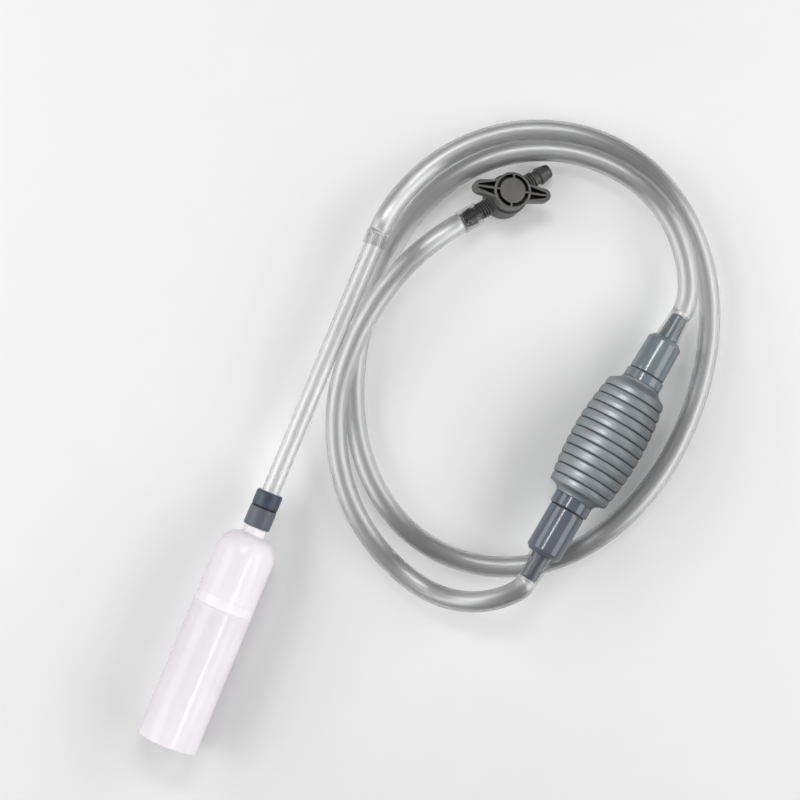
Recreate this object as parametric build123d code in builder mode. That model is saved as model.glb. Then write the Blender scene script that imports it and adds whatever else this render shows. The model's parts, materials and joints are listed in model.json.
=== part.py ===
"""Gravel vacuum siphon: wand, primer bulb, tap and two clear hoses, lying on a table.

Millimetres, +Z up, table at Z = 0. Each straight sub-assembly is drawn on its own
side plane: X is the radius, Y runs along the axis.
"""
from build123d import *
import os
from math import cos, sin, radians

os.makedirs("parts", exist_ok=True)

# ---- driving sizes ----------------------------------------------------------
running_gap = 0.05

hose_outer_r = 8.0
hose_inner_r = 6.0

bell_r = 23.5
bell_wall = 1.5
bell_length = 170.0
gravel_tube_length = 109.0
tube_r = 7.0
tube_wall = 1.3
wand_length = 410.6
wand_heading = 67.4
wand_mouth = (-196.7, -228.7, bell_r + 0.02)

bulb_r_mid = 27.6
bulb_r_end = 23.5
bulb_ring_pitch = 7.55
bulb_rings = 12
bulb_wall = 1.7
bulb_middle = 94.4
bulb_heading = 59.6
bulb_tilt = 4.0
bulb_outlet = (83.6, -86.2, 35.36)

tap_span = 79.0
tap_heading = 31.5
tap_pitch = 14.0
tap_centre = (56.7, 179.3, 16.2)
tap_body_r = 15.2
tap_bore_r = 3.6
outlet_bore_r = 3.8
outlet_bore_length = 27.5
plug_r = 8.5
handle_span = 58.7
handle_turned = -38.2


def side_plane(origin, heading, climb):
    """Plane whose Y runs along a heading and climb, and whose X points upwards."""
    run = Vector(
        cos(radians(climb)) * cos(radians(heading)),
        cos(radians(climb)) * sin(radians(heading)),
        sin(radians(climb)),
    )
    level = Vector(0, 0, 1).cross(run).normalized()
    up = run.cross(level)
    return Plane(origin=origin, x_dir=up, z_dir=up.cross(run))


def along(plane, distance):
    """World point on a side plane's axis."""
    return plane.from_local_coords(Vector(0, distance, 0))


def axis_of(plane):
    """World axis that a side plane's profiles are revolved about."""
    return Axis(plane.origin, plane.y_dir)


def save(piece, label):
    piece.part.label = label
    export_step(piece.part, f"parts/{label}.step")


wand = side_plane(wand_mouth, wand_heading, 0)
bulb = side_plane(bulb_outlet, bulb_heading, -bulb_tilt)
tap = side_plane(tap_centre, tap_heading, -tap_pitch)

# ---- gravel tube: wide cylinder, open mouth, spigot that plugs into the dome --
seam_r = bell_r - 0.45
spigot_length = 7.0
spigot_r = seam_r - bell_wall - 0.1
spigot_inner_r = spigot_r - 1.4
mouth_bore_r = bell_r - bell_wall - 0.05
lip = 0.55

with BuildPart() as gravel_tube:
    with BuildSketch(wand):
        with BuildLine():
            Polyline(
                (mouth_bore_r, lip),
                (mouth_bore_r, gravel_tube_length - 5),
                (spigot_inner_r, gravel_tube_length - 2),
                (spigot_inner_r, gravel_tube_length + spigot_length),
                (spigot_r, gravel_tube_length + spigot_length),
                (spigot_r, gravel_tube_length),
                (seam_r, gravel_tube_length),
                (bell_r, lip),
            )
            ThreePointArc(
                (bell_r, lip),
                ((bell_r + mouth_bore_r) / 2, 0),
                (mouth_bore_r, lip),
            )
        make_face()
    revolve(axis=axis_of(wand))
save(gravel_tube, "gravel_tube")

# ---- bell dome: short cylinder, ellipsoidal shoulder, neck -------------------
dome_r = bell_r - 0.6
dome_inner_r = spigot_r + running_gap
dome_start = gravel_tube_length + 0.1
curve_start = 149.0
neck_r = 8.6
neck_bore_r = 6.0
neck_end = 180.0
shoulder_height = bell_length - 2 - curve_start

with BuildPart() as bell_dome:
    with BuildSketch(wand):
        with BuildLine():
            Line((dome_inner_r, dome_start), (dome_r, dome_start))
            Line((dome_r, dome_start), (dome_r, curve_start))
            EllipticalCenterArc(
                (neck_r, curve_start), dome_r - neck_r, shoulder_height, arc_size=90
            )
            Line((neck_r, curve_start + shoulder_height), (neck_r, neck_end))
            Line((neck_r, neck_end), (neck_bore_r, neck_end))
            Line(
                (neck_bore_r, neck_end),
                (neck_bore_r, curve_start + shoulder_height - bell_wall),
            )
            EllipticalCenterArc(
                (neck_bore_r, curve_start),
                dome_inner_r - neck_bore_r,
                shoulder_height - bell_wall,
                arc_size=90,
            )
            Line((dome_inner_r, curve_start), (dome_inner_r, dome_start))
        make_face()
    revolve(axis=axis_of(wand))
save(bell_dome, "bell_dome")

# ---- neck: collar, seal, nut and the grip cone that holds the rigid tube ------
collar_start = 174.0
collar_end = 189.0
collar_r = 10.3
nut_start = 190.5
nut_end = 202.0
nut_r = 10.15
thread_root_r = 8.6
thread_crest_r = 8.95
thread_start = 192.0
thread_pitch = 2.0
thread_rings = 3
thread_end = 198.4
nut_thread_r = 9.1
socket_r = tube_r + running_gap
nut_mouth_r = 7.25


with BuildPart() as neck_collar:
    with BuildSketch(wand):
        with BuildLine():
            Polyline(
                (neck_r + running_gap, collar_start),
                (collar_r - 0.6, collar_start),
                (collar_r, collar_start + 0.8),
                (collar_r, collar_end),
                (thread_root_r, collar_end),
                (thread_root_r, thread_end),
                (socket_r, thread_end),
                (socket_r, neck_end + 0.05),
                (neck_r + running_gap, neck_end + 0.05),
                close=True,
            )
        make_face()
        for ring in range(thread_rings):
            ring_middle = thread_start + thread_pitch * (ring + 0.5)
            with BuildLine():
                Polyline(
                    (thread_root_r - 0.1, ring_middle - 0.7),
                    (thread_crest_r, ring_middle - 0.25),
                    (thread_crest_r, ring_middle + 0.25),
                    (thread_root_r - 0.1, ring_middle + 0.7),
                    close=True,
                )
            make_face()
    revolve(axis=axis_of(wand))
save(neck_collar, "neck_collar")

with BuildPart() as neck_seal:
    with BuildSketch(wand):
        with BuildLine():
            Polyline(
                (thread_root_r + running_gap, collar_end),
                (collar_r - 0.6, collar_end),
                (collar_r - 0.6, nut_start - running_gap),
                (thread_root_r + running_gap, nut_start - running_gap),
                close=True,
            )
        make_face()
    revolve(axis=axis_of(wand))
save(neck_seal, "neck_seal")

with BuildPart() as neck_nut:
    with BuildSketch(wand):
        with BuildLine():
            Polyline(
                (nut_thread_r, nut_start),
                (nut_r, nut_start),
                (nut_r, nut_end - 1.6),
                (nut_r - 0.8, nut_end),
                (nut_mouth_r, nut_end),
                (nut_mouth_r, nut_end - 1.6),
                (nut_thread_r, thread_end + 0.3),
                close=True,
            )
        make_face()
    revolve(axis=axis_of(wand))
save(neck_nut, "neck_nut")

with BuildPart() as tube_grip:
    with BuildSketch(wand):
        with BuildLine():
            Polyline(
                (socket_r, thread_end),
                (nut_thread_r - 0.1, thread_end),
                (nut_mouth_r + 0.1, nut_end - 1.75),
                (socket_r, nut_end - 1.75),
                close=True,
            )
        make_face()
    revolve(axis=axis_of(wand))
save(tube_grip, "tube_grip")

# ---- extension tube: straight rigid tube from the neck to the hose -----------
with BuildPart() as extension_tube:
    with BuildSketch(wand):
        with Locations((tube_r - tube_wall / 2, (neck_end + 0.2 + wand_length) / 2)):
            Rectangle(tube_wall, wand_length - neck_end - 0.2)
    revolve(axis=axis_of(wand))
save(extension_tube, "extension_tube")

# ---- bulb bellows: barrel of rounded rings with a neck at each end ------------
groove_depth = 1.5
neck_outer_r = 15.1
neck_bore_wide_r = 12.0
socket_wall = 1.6
outlet_neck_start = 41.4
outlet_neck_end = 45.5
inlet_neck_start = 144.9
inlet_neck_end = 148.0
first_crest = bulb_middle - bulb_ring_pitch * (bulb_rings - 1) / 2
last_crest = bulb_middle + bulb_ring_pitch * (bulb_rings - 1) / 2
low_shoulder = first_crest - 2.6
high_shoulder = last_crest + 3.0


def barrel_r(distance):
    """Radius of the barrel that the ring crests touch."""
    offset_ratio = (distance - bulb_middle) / (last_crest - bulb_middle)
    return bulb_r_mid - (bulb_r_mid - bulb_r_end) * offset_ratio**2


def ring_side(shrink):
    """Wavy side of the bellows, from the low shoulder to the high one."""
    start = (barrel_r(low_shoulder) - 2 - shrink, low_shoulder)
    for ring in range(bulb_rings):
        crest = first_crest + ring * bulb_ring_pitch
        groove = crest + bulb_ring_pitch / 2
        end = (barrel_r(groove) - groove_depth - shrink, groove)
        if ring == bulb_rings - 1:
            end = (barrel_r(high_shoulder) - 1 - shrink, high_shoulder)
        ThreePointArc(start, (barrel_r(crest) - shrink, crest), end)
        start = end


with BuildPart() as bulb_bellows:
    with BuildSketch(bulb):
        with BuildLine():
            ring_side(0)
            ring_side(bulb_wall)
            ThreePointArc(
                (barrel_r(low_shoulder) - 2, low_shoulder),
                (neck_outer_r + 1.6, outlet_neck_end + 2.8),
                (neck_outer_r, outlet_neck_end),
            )
            Polyline(
                (neck_outer_r, outlet_neck_end),
                (neck_bore_wide_r + socket_wall, outlet_neck_end),
                (neck_bore_wide_r + socket_wall, outlet_neck_start),
                (neck_bore_wide_r, outlet_neck_start),
                (neck_bore_wide_r, low_shoulder + 0.6),
                (barrel_r(low_shoulder) - 2 - bulb_wall, low_shoulder),
            )
            Polyline(
                (barrel_r(high_shoulder) - 1, high_shoulder),
                (neck_outer_r + 2.6, high_shoulder + 2.9),
                (neck_outer_r + 0.3, high_shoulder + 4.9),
                (neck_outer_r + 0.3, inlet_neck_start),
                (neck_bore_wide_r + socket_wall, inlet_neck_start),
                (neck_bore_wide_r + socket_wall, inlet_neck_end),
                (neck_bore_wide_r, inlet_neck_end),
                (neck_bore_wide_r, high_shoulder + 1.4),
                (barrel_r(high_shoulder) - 1 - bulb_wall, high_shoulder),
            )
        make_face()
    revolve(axis=axis_of(bulb))
save(bulb_bellows, "bulb_bellows")

# ---- valve ends of the bulb: collar with the seat web, gasket, cap, check disc --
# Each end is drawn on a plane whose Y starts at the collar's bulb side, runs outwards.
collar_outer_r = 15.1
cap_outer_r = 13.95
cap_wall = 1.55
cap_inner_r = cap_outer_r - cap_wall
neck_socket_r = neck_bore_wide_r + socket_wall + running_gap
sleeve_r = neck_bore_wide_r - running_gap
sleeve_inner_r = 10.6
seat_start = 4.05
seat_end = 6.05
guide_hole_r = 1.6
window_r = 2.3
window_ring_r = 6.2
windows = 5
disc_r = 9.6
disc_thickness = 1.4
stem_r = 1.5
stem_head_r = 2.1
check_lift = 2.5
sleeve_reach = 4.5
gasket_thickness = 0.8
cap_chamfer = 2.6
spigot_reach = 20.0
spigot_base_r = 7.6
spigot_tip_r = 6.2
spigot_bore_r = 4.4

outlet_end = Plane(origin=along(bulb, outlet_neck_end - 0.1), x_dir=bulb.x_dir, z_dir=-bulb.z_dir)
inlet_end = Plane(origin=along(bulb, inlet_neck_start + 0.1), x_dir=bulb.x_dir, z_dir=bulb.z_dir)
outlet_collar = 9.4
outlet_cap_end = 45.4
inlet_collar = 7.5
inlet_cap_end = 36.0


def across(plane, distance):
    """Plane square to a side plane's axis, at a distance along it."""
    return Plane(origin=along(plane, distance), x_dir=plane.x_dir, z_dir=plane.y_dir)


def turn(plane, *points):
    """Revolve one closed outline about the side plane's axis, inside a part block."""
    with BuildSketch(plane) as outline:
        with BuildLine():
            Polyline(*points, close=True)
        make_face()
    revolve(outline.sketch, axis=axis_of(plane))


def build_valve_body(plane, collar, name):
    with BuildPart() as body:
        turn(
            plane,
            (0, seat_start),
            (sleeve_inner_r, seat_start),
            (sleeve_inner_r, -3.5),
            (sleeve_r, -3.5),
            (sleeve_r, seat_start),
            (neck_socket_r, seat_start),
            (neck_socket_r, 0),
            (collar_outer_r - 0.5, 0),
            (collar_outer_r, 0.5),
            (collar_outer_r, collar - 0.8),
            (collar_outer_r - 0.8, collar),
            (cap_inner_r - running_gap, collar),
            (cap_inner_r - running_gap, collar + sleeve_reach),
            (cap_inner_r - 1.4, collar + sleeve_reach),
            (cap_inner_r - 1.4, seat_end),
            (0, seat_end),
        )
        with BuildSketch(across(plane, seat_start)):
            Circle(guide_hole_r)
            with PolarLocations(window_ring_r, windows):
                Circle(window_r)
        extrude(amount=seat_end - seat_start, mode=Mode.SUBTRACT)
    save(body, name)


def build_gasket(plane, collar, name):
    with BuildPart() as gasket:
        turn(
            plane,
            (cap_inner_r + running_gap, collar),
            (cap_outer_r - 0.5, collar),
            (cap_outer_r - 0.5, collar + gasket_thickness),
            (cap_inner_r + running_gap, collar + gasket_thickness),
        )
    save(gasket, name)


def build_spigot_cap(plane, collar, cap_end, end_r, name):
    shoulder = cap_end + cap_chamfer
    tip = shoulder + spigot_reach
    with BuildPart() as cap:
        turn(
            plane,
            (cap_inner_r, collar + gasket_thickness),
            (cap_outer_r - 0.3, collar + gasket_thickness),
            (cap_outer_r, collar + gasket_thickness + 0.4),
            (end_r, cap_end - 0.8),
            (end_r - 0.5, cap_end),
            (end_r - 2.6, shoulder - 0.3),
            (end_r - 3.6, shoulder),
            (spigot_base_r, shoulder),
            (spigot_tip_r, tip - 0.8),
            (spigot_tip_r - 0.7, tip),
            (spigot_bore_r, tip),
            (spigot_bore_r, cap_end - 1),
            (end_r - cap_wall - 2, cap_end - 1),
            (end_r - cap_wall - 0.4, cap_end - 3),
            (cap_inner_r, collar + sleeve_reach + 0.5),
        )
    save(cap, name)


def build_check_disc(plane, seat, outward, name):
    """Disc resting on one side of the web; its stem passes through the guide hole."""
    disc_start = seat + outward * 0.05
    stem_end = seat - outward * (seat_end - seat_start + check_lift + 1.2)
    head_start = stem_end + outward * 1.1
    with BuildPart() as disc:
        turn(
            plane,
            (0, stem_end),
            (stem_head_r - 0.6, stem_end),
            (stem_head_r, head_start),
            (stem_r, head_start),
            (stem_r, disc_start),
            (disc_r, disc_start),
            (disc_r, disc_start + outward * 0.8),
            (disc_r * 0.6, disc_start + outward * disc_thickness),
            (0, disc_start + outward * disc_thickness),
        )
    save(disc, name)


build_valve_body(outlet_end, outlet_collar, "outlet_valve_body")
build_gasket(outlet_end, outlet_collar, "outlet_gasket")
build_spigot_cap(outlet_end, outlet_collar, outlet_cap_end, 13.9, "outlet_spigot_cap")
build_check_disc(outlet_end, seat_end, 1, "outlet_check_disc")
build_valve_body(inlet_end, inlet_collar, "inlet_valve_body")
build_gasket(inlet_end, inlet_collar, "inlet_gasket")
build_spigot_cap(inlet_end, inlet_collar, inlet_cap_end, 13.4, "inlet_spigot_cap")
build_check_disc(inlet_end, seat_start, -1, "inlet_check_disc")

# ---- tap: body with two ribbed tails, plug, retainer, O-rings, handle ----------
tap_top = Plane(origin=tap.origin, x_dir=tap.y_dir, z_dir=tap.x_dir)
handle_way = tap_top.x_dir.rotate(Axis((0, 0, 0), tap_top.z_dir), handle_turned)
turned_top = Plane(origin=tap.origin, x_dir=handle_way, z_dir=tap_top.z_dir)
tail_end = tap_span / 2
tail_tip_r = 5.2
tail_barb_r = 6.85
tail_root_r = 5.5
tail_barb_length = 9.8
tail_groove_length = 4.4
ridge_pitch = 2.15
ridges = 4
ridge_r = 6.6
body_bottom = -13.2
body_top = 9.0
plug_bottom = -10.5
retainer_bottom = 7.05
retainer_r = 11.5
plug_neck_r = 7.0
stem_side = 8.0
stem_top = 15.0
ring_section_r = 0.85
ring_heights = (-8.4, 5.0)


def tail_outline():
    """Half of the pipe outline, tip first: barb, groove, ring ridges, neck."""
    barb_end = tail_end - tail_barb_length
    points = [
        (0, tail_end),
        (tail_tip_r - 0.4, tail_end),
        (tail_tip_r, tail_end - 0.5),
        (tail_barb_r, barb_end + 0.8),
        (tail_barb_r, barb_end),
        (tail_root_r, barb_end - 0.2),
    ]
    for ridge in range(ridges):
        ridge_at = barb_end - tail_groove_length - ridge_pitch * ridge
        points.append((tail_root_r, ridge_at))
        points.append((ridge_r, ridge_at - 0.5))
        points.append((ridge_r, ridge_at - 1.1))
        points.append((tail_root_r, ridge_at - 1.6))
    points.append((tail_root_r, barb_end - 13))
    points.append((tail_root_r + 0.6, barb_end - 14))
    points.append((tail_root_r + 1.3, 0))
    points.append((0, 0))
    return points


with BuildPart() as tap_body:
    with BuildSketch(tap):
        with BuildLine():
            Polyline(*tail_outline(), close=True)
        make_face()
        mirror(about=Plane.XZ)
    revolve(axis=axis_of(tap))
    with BuildSketch(tap_top.offset(body_bottom)):
        Circle(tap_body_r)
    extrude(amount=body_top - body_bottom)
    round_edges = tap_body.edges().filter_by(GeomType.CIRCLE).filter_by(
        lambda edge: edge.radius > tap_body_r - 0.1
    )
    fillet(round_edges, 1.6)
    with BuildSketch(tap_top.offset(plug_bottom - 0.1)):
        Circle(plug_r + running_gap)
    extrude(amount=body_top - plug_bottom + 0.1, mode=Mode.SUBTRACT)
    with BuildSketch(tap_top.offset(retainer_bottom)):
        Circle(retainer_r + running_gap)
    extrude(amount=body_top - retainer_bottom, mode=Mode.SUBTRACT)
    with BuildSketch(across(tap, -tail_end)):
        Circle(tap_bore_r)
    extrude(amount=tap_span, mode=Mode.SUBTRACT)
    with BuildSketch(across(tap, tail_end - outlet_bore_length)):
        Circle(outlet_bore_r)
    extrude(amount=outlet_bore_length, mode=Mode.SUBTRACT)
save(tap_body, "tap_body")

with BuildPart() as tap_plug:
    with BuildSketch(tap_top.offset(plug_bottom)):
        Circle(plug_r)
    extrude(amount=retainer_bottom - running_gap - plug_bottom)
    with BuildSketch(tap_top.offset(retainer_bottom - running_gap)):
        Circle(plug_neck_r)
    extrude(amount=body_top + 0.4 - retainer_bottom + running_gap)
    with BuildSketch(turned_top.offset(body_top)):
        Rectangle(stem_side, stem_side)
    extrude(amount=stem_top - body_top)
    with BuildSketch(Plane(origin=tap.origin, x_dir=tap_top.z_dir, z_dir=turned_top.x_dir)):
        Circle(tap_bore_r)
    extrude(amount=plug_r + 1, both=True, mode=Mode.SUBTRACT)
    for height in ring_heights:
        with BuildSketch(tap_top.offset(height - ring_section_r - 0.1)):
            Circle(plug_r + 1)
            Circle(plug_r - 2 * ring_section_r - 0.05, mode=Mode.SUBTRACT)
        extrude(amount=2 * ring_section_r + 0.2, mode=Mode.SUBTRACT)
save(tap_plug, "tap_plug")

with BuildPart() as plug_o_rings:
    for height in ring_heights:
        with BuildSketch(Plane(origin=tap.origin, x_dir=tap.y_dir, z_dir=-tap.z_dir)):
            with Locations((plug_r - ring_section_r, height)):
                Circle(ring_section_r)
        revolve(axis=Axis(tap.origin, tap.x_dir))
save(plug_o_rings, "plug_o_rings")

with BuildPart() as plug_retainer:
    with BuildSketch(tap_top.offset(retainer_bottom)):
        Circle(retainer_r)
        Circle(plug_neck_r + running_gap, mode=Mode.SUBTRACT)
    extrude(amount=body_top - retainer_bottom)
save(plug_retainer, "plug_retainer")

hub_r = 13.8
hub_bottom = body_top + 0.5
hub_top = 21.0
disc_edge_r = 9.5
annulus_r = 12.3
annulus_depth = 5.0
rib_width = 1.2
wing_tip_r = 5.0
wing_root_r = 6.6
wing_top = 20.4
wing_bottom = 12.0
wing_depth = 6.0
recess_root_r = 5.1
recess_tip_r = 2.3
wing_rib = 1.5


def wing_outline(root_r, tip_r):
    """Tapered wing shape along +X, drawn inside a sketch block."""
    with Locations((handle_span / 2 - wing_tip_r, 0)):
        Circle(tip_r)
    with Locations((hub_r - 1, 0)):
        Circle(root_r)
    make_hull()


with BuildPart() as tap_handle:
    with BuildSketch(turned_top.offset(wing_bottom)):
        wing_outline(wing_root_r, wing_tip_r)
        mirror(about=Plane.YZ)
    extrude(amount=wing_top - wing_bottom)
    with BuildSketch(turned_top.offset(hub_bottom)):
        Circle(hub_r)
    extrude(amount=hub_top - hub_bottom)
    with BuildSketch(turned_top.offset(hub_top - annulus_depth)):
        Circle(annulus_r)
        Circle(disc_edge_r, mode=Mode.SUBTRACT)
        with PolarLocations((annulus_r + disc_edge_r) / 2, 4):
            Rectangle(annulus_r, rib_width, mode=Mode.SUBTRACT)
    extrude(amount=annulus_depth, mode=Mode.SUBTRACT)
    with BuildSketch(turned_top.offset(wing_top - wing_depth)):
        wing_outline(recess_root_r, recess_tip_r)
        Circle(hub_r + 0.2, mode=Mode.SUBTRACT)
        Rectangle(handle_span, wing_rib, mode=Mode.SUBTRACT)
        mirror(about=Plane.YZ)
    extrude(amount=hub_top, mode=Mode.SUBTRACT)
    with BuildSketch(turned_top.offset(hub_bottom)):
        Rectangle(stem_side + 0.1, stem_side + 0.1)
        Circle(plug_neck_r + 0.1)
    extrude(amount=0.6, mode=Mode.SUBTRACT)
    with BuildSketch(turned_top.offset(hub_bottom)):
        Rectangle(stem_side + 0.1, stem_side + 0.1)
    extrude(amount=stem_top + 0.1 - hub_bottom, mode=Mode.SUBTRACT)
save(tap_handle, "tap_handle")

# ---- hoses: a straight stretched end, a swept run, another stretched end -------
hose_cover_wall = 1.75
wand_cover = 9.2
tap_cover = 14.0
taper = 3.6


def hose_end(plane, near, near_r, far, far_r):
    """Stretched end of a hose, near its mouth to where it is back to its own size."""
    away = 1 if far > near else -1
    turn(
        plane,
        (near_r, near),
        (far_r, far),
        (hose_inner_r, far + away * taper),
        (hose_outer_r, far + away * taper),
        (far_r + hose_cover_wall, far),
        (near_r + hose_cover_wall, near),
    )


def sweep_hose(start, start_way, between, end, end_way):
    """Swept ring from start to end through the points in between."""
    with BuildLine() as run:
        Spline(
            start,
            *between,
            end,
            tangents=(start_way, end_way),
            tangent_scalars=(1, 1),
        )
    for radius, mode in ((hose_outer_r, Mode.ADD), (hose_inner_r, Mode.SUBTRACT)):
        with BuildSketch(Plane(origin=start, z_dir=start_way)) as section:
            Circle(radius)
        sweep(section.sketch, path=run.wire(), mode=mode)


spigot_cover_r = spigot_base_r + running_gap
spigot_cover_tip_r = spigot_tip_r + running_gap
inlet_mouth = inlet_cap_end + cap_chamfer + 0.4
inlet_tip = inlet_cap_end + cap_chamfer + spigot_reach
outlet_mouth = outlet_cap_end + cap_chamfer + 0.4
outlet_tip = outlet_cap_end + cap_chamfer + spigot_reach

suction_run = [
    (-21.9, 179.3, 18.0),
    (9.0, 207.7, 11.0),
    (55.6, 226.9, 8.15),
    (103.8, 227.5, 8.15),
    (159.8, 203.0, 8.15),
    (198.1, 151.3, 8.15),
    (210.2, 94.1, 8.15),
    (197.9, 21.7, 8.15),
    (156.2, -50.3, 8.15),
    (101.4, -90.0, 8.15),
    (46.1, -98.3, 8.15),
    (-10.0, -76.7, 8.15),
    (-47.8, -23.4, 8.15),
    (-57.2, 34.1, 8.15),
    (-45.3, 101.7, 8.2),
    (-7.3, 171.5, 8.8),
    (41.5, 205.7, 11.0),
    (90.3, 213.3, 13.6),
    (138.3, 199.9, 17.0),
    (170.3, 174.1, 19.6),
    (191.6, 125.6, 20.4),
    (192.6, 108.8, 20.4),
]
discharge_run = [
    (59.5, -116.9, 36.2),
    (31.7, -123.5, 27.2),
    (-1.3, -116.1, 14.6),
    (-26.3, -98.1, 9.3),
    (-57.1, -55.8, 8.8),
    (-70.3, -1.9, 14.0),
    (-68.1, 34.2, 21.4),
    (-58.7, 64.2, 27.4),
    (-33.3, 109.2, 29.6),
    (-4.9, 139.2, 31.4),
]

with BuildPart() as suction_hose:
    sweep_hose(
        along(wand, wand_length + taper),
        wand.y_dir,
        suction_run,
        along(inlet_end, inlet_tip + taper),
        -inlet_end.y_dir,
    )
    hose_end(wand, wand_length - wand_cover, socket_r, wand_length, socket_r)
    hose_end(inlet_end, inlet_mouth, spigot_cover_r, inlet_tip, spigot_cover_tip_r)
save(suction_hose, "suction_hose")

with BuildPart() as discharge_hose:
    sweep_hose(
        along(outlet_end, outlet_tip + taper),
        outlet_end.y_dir,
        discharge_run,
        along(tap, -tail_end - taper),
        tap.y_dir,
    )
    hose_end(outlet_end, outlet_mouth, spigot_cover_r, outlet_tip, spigot_cover_tip_r)
    barb_cover_r = tail_barb_r + running_gap
    hose_end(tap, -tail_end + tap_cover, barb_cover_r, -tail_end, barb_cover_r)
save(discharge_hose, "discharge_hose")
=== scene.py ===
"""Looks of a gravel vacuum siphon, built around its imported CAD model."""

import json
import math

import bmesh
import bpy
import numpy as np
from mathutils import Matrix, Vector


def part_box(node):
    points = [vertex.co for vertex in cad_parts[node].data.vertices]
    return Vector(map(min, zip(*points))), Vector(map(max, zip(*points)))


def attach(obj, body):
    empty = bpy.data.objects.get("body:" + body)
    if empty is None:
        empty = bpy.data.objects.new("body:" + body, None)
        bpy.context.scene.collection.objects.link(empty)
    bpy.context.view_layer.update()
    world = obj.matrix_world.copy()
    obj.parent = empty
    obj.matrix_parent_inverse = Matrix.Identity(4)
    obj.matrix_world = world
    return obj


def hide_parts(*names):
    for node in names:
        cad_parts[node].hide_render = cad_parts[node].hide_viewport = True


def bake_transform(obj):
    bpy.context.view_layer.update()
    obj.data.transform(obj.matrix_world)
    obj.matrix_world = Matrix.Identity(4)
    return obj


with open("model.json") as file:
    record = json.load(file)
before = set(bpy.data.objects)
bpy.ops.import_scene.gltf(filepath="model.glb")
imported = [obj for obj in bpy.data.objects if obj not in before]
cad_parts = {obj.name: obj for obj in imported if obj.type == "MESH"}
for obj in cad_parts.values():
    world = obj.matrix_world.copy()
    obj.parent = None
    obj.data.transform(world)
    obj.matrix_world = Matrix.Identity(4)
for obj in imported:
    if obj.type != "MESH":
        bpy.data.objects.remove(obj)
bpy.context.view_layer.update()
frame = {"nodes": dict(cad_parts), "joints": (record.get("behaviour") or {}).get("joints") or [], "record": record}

MM = 0.001
RECORD = frame["record"]
JOINTS = {joint["name"]: joint for joint in frame["joints"]}
MOUNTS = {mount["name"]: mount for mount in RECORD["mounts"]}
ROOT = "siphon_body"

# ---- sizes in millimetres, the same as in the CAD source ------------------------
HOSE_R = 8.0
HOSE_BORE_R = 6.0
BELL_R = 23.5
TUBE_R = 7.0
WAND_LENGTH = 410.6
TAP_SPAN = 79.0


# ---- local frames: origin, axis, up ---------------------------------------------
class Line:
    """A straight axis with an up direction; places points given as radius and run."""

    def __init__(self, origin, way, up=(0, 0, 1)):
        self.origin = Vector(origin)
        self.way = Vector(way).normalized()
        up = Vector(up)
        self.up = (up - self.way * up.dot(self.way)).normalized()
        self.side = self.way.cross(self.up)

    def at(self, run):
        """World point on the axis, run in millimetres."""
        return self.origin + self.way * (run * MM)

    def shifted(self, run, flip=False):
        return Line(self.at(run), -self.way if flip else self.way, self.up)


mouth_mount = MOUNTS["gravel_mouth"]
MOUTH_MOUNT_RUN = 50.0
wand = Line(mouth_mount["pos_m"], -Vector(mouth_mount["axis"])).shifted(-MOUTH_MOUNT_RUN)
OUTLET_GASKET_RUN = 35.6


def box_centre(node):
    low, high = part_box(node)
    return (Vector(low) + Vector(high)) / 2


outlet_gasket = box_centre("outlet_gasket")
bulb = Line(outlet_gasket, box_centre("inlet_gasket") - outlet_gasket).shifted(-OUTLET_GASKET_RUN)
outlet_end = bulb.shifted(45.4, flip=True)
inlet_end = bulb.shifted(145)
tap = Line(JOINTS["tap_turn"]["pos_m"], MOUNTS["tap_outlet"]["axis"], JOINTS["tap_turn"]["axis"])


# ---- mesh makers -------------------------------------------------------------------
def new_piece(name, verts, faces, uvs, material, crease=None):
    """Mesh object from vertex, face and per-vertex (run, around) lists in metres."""
    mesh = bpy.data.meshes.new(name)
    mesh.from_pydata([tuple(v) for v in verts], [], faces)
    layer = mesh.uv_layers.new(name="run_around")
    loops = np.zeros(len(mesh.loops), np.int32)
    mesh.loops.foreach_get("vertex_index", loops)
    layer.data.foreach_set("uv", np.asarray(uvs, np.float32)[loops].ravel())
    piece = bpy.data.objects.new(name, mesh)
    bpy.context.scene.collection.objects.link(piece)
    mesh.polygons.foreach_set("use_smooth", [True] * len(mesh.polygons))
    mesh.set_sharp_from_angle(angle=math.radians(crease or 35))
    mesh.materials.append(material)
    return piece


def lathe(name, line, profile, material, segments=96, closed=True, crease=None, ribs=None):
    """Turned piece: profile is (radius, run) in mm, walked so that outsides face out.

    ribs(run) -> (count, depth in mm) grooves cut round the piece at that run.
    """
    verts, uvs, faces = [], [], []
    angles = np.linspace(0, 2 * math.pi, segments, endpoint=False)
    for radius, run in profile:
        count, depth = ribs(radius, run) if ribs else (0, 0)
        for angle in angles:
            cut = depth * (0.5 - 0.5 * math.cos(angle * count)) if count else 0
            r = (radius - cut) * MM
            out = line.side * math.sin(angle) - line.up * math.cos(angle)
            verts.append(line.at(run) + out * r)
            uvs.append((run * MM, angle * max(radius, 1) * MM))
    rows = len(profile)
    for i in range(rows if closed else rows - 1):
        j = (i + 1) % rows
        for k in range(segments):
            n = (k + 1) % segments
            faces.append((i * segments + k, i * segments + n, j * segments + n, j * segments + k))
    piece = new_piece(name, verts, faces, uvs, material, crease)
    tidy(piece.data)
    return piece


def tidy(mesh):
    """Merge the points that meet on an axis and turn all faces outwards."""
    work = bmesh.new()
    work.from_mesh(mesh)
    bmesh.ops.remove_doubles(work, verts=work.verts, dist=1e-7)
    bmesh.ops.dissolve_degenerate(work, edges=work.edges, dist=1e-8)
    bmesh.ops.recalc_face_normals(work, faces=work.faces)
    work.to_mesh(mesh)
    work.free()


def arc(centre, radii, start, end, steps):
    """Elliptical arc points as (radius, run); angles in degrees from the +radius side."""
    points = []
    for i in range(steps + 1):
        angle = math.radians(start + (end - start) * i / steps)
        points.append((centre[0] + radii[0] * math.cos(angle), centre[1] + radii[1] * math.sin(angle)))
    return points


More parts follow.
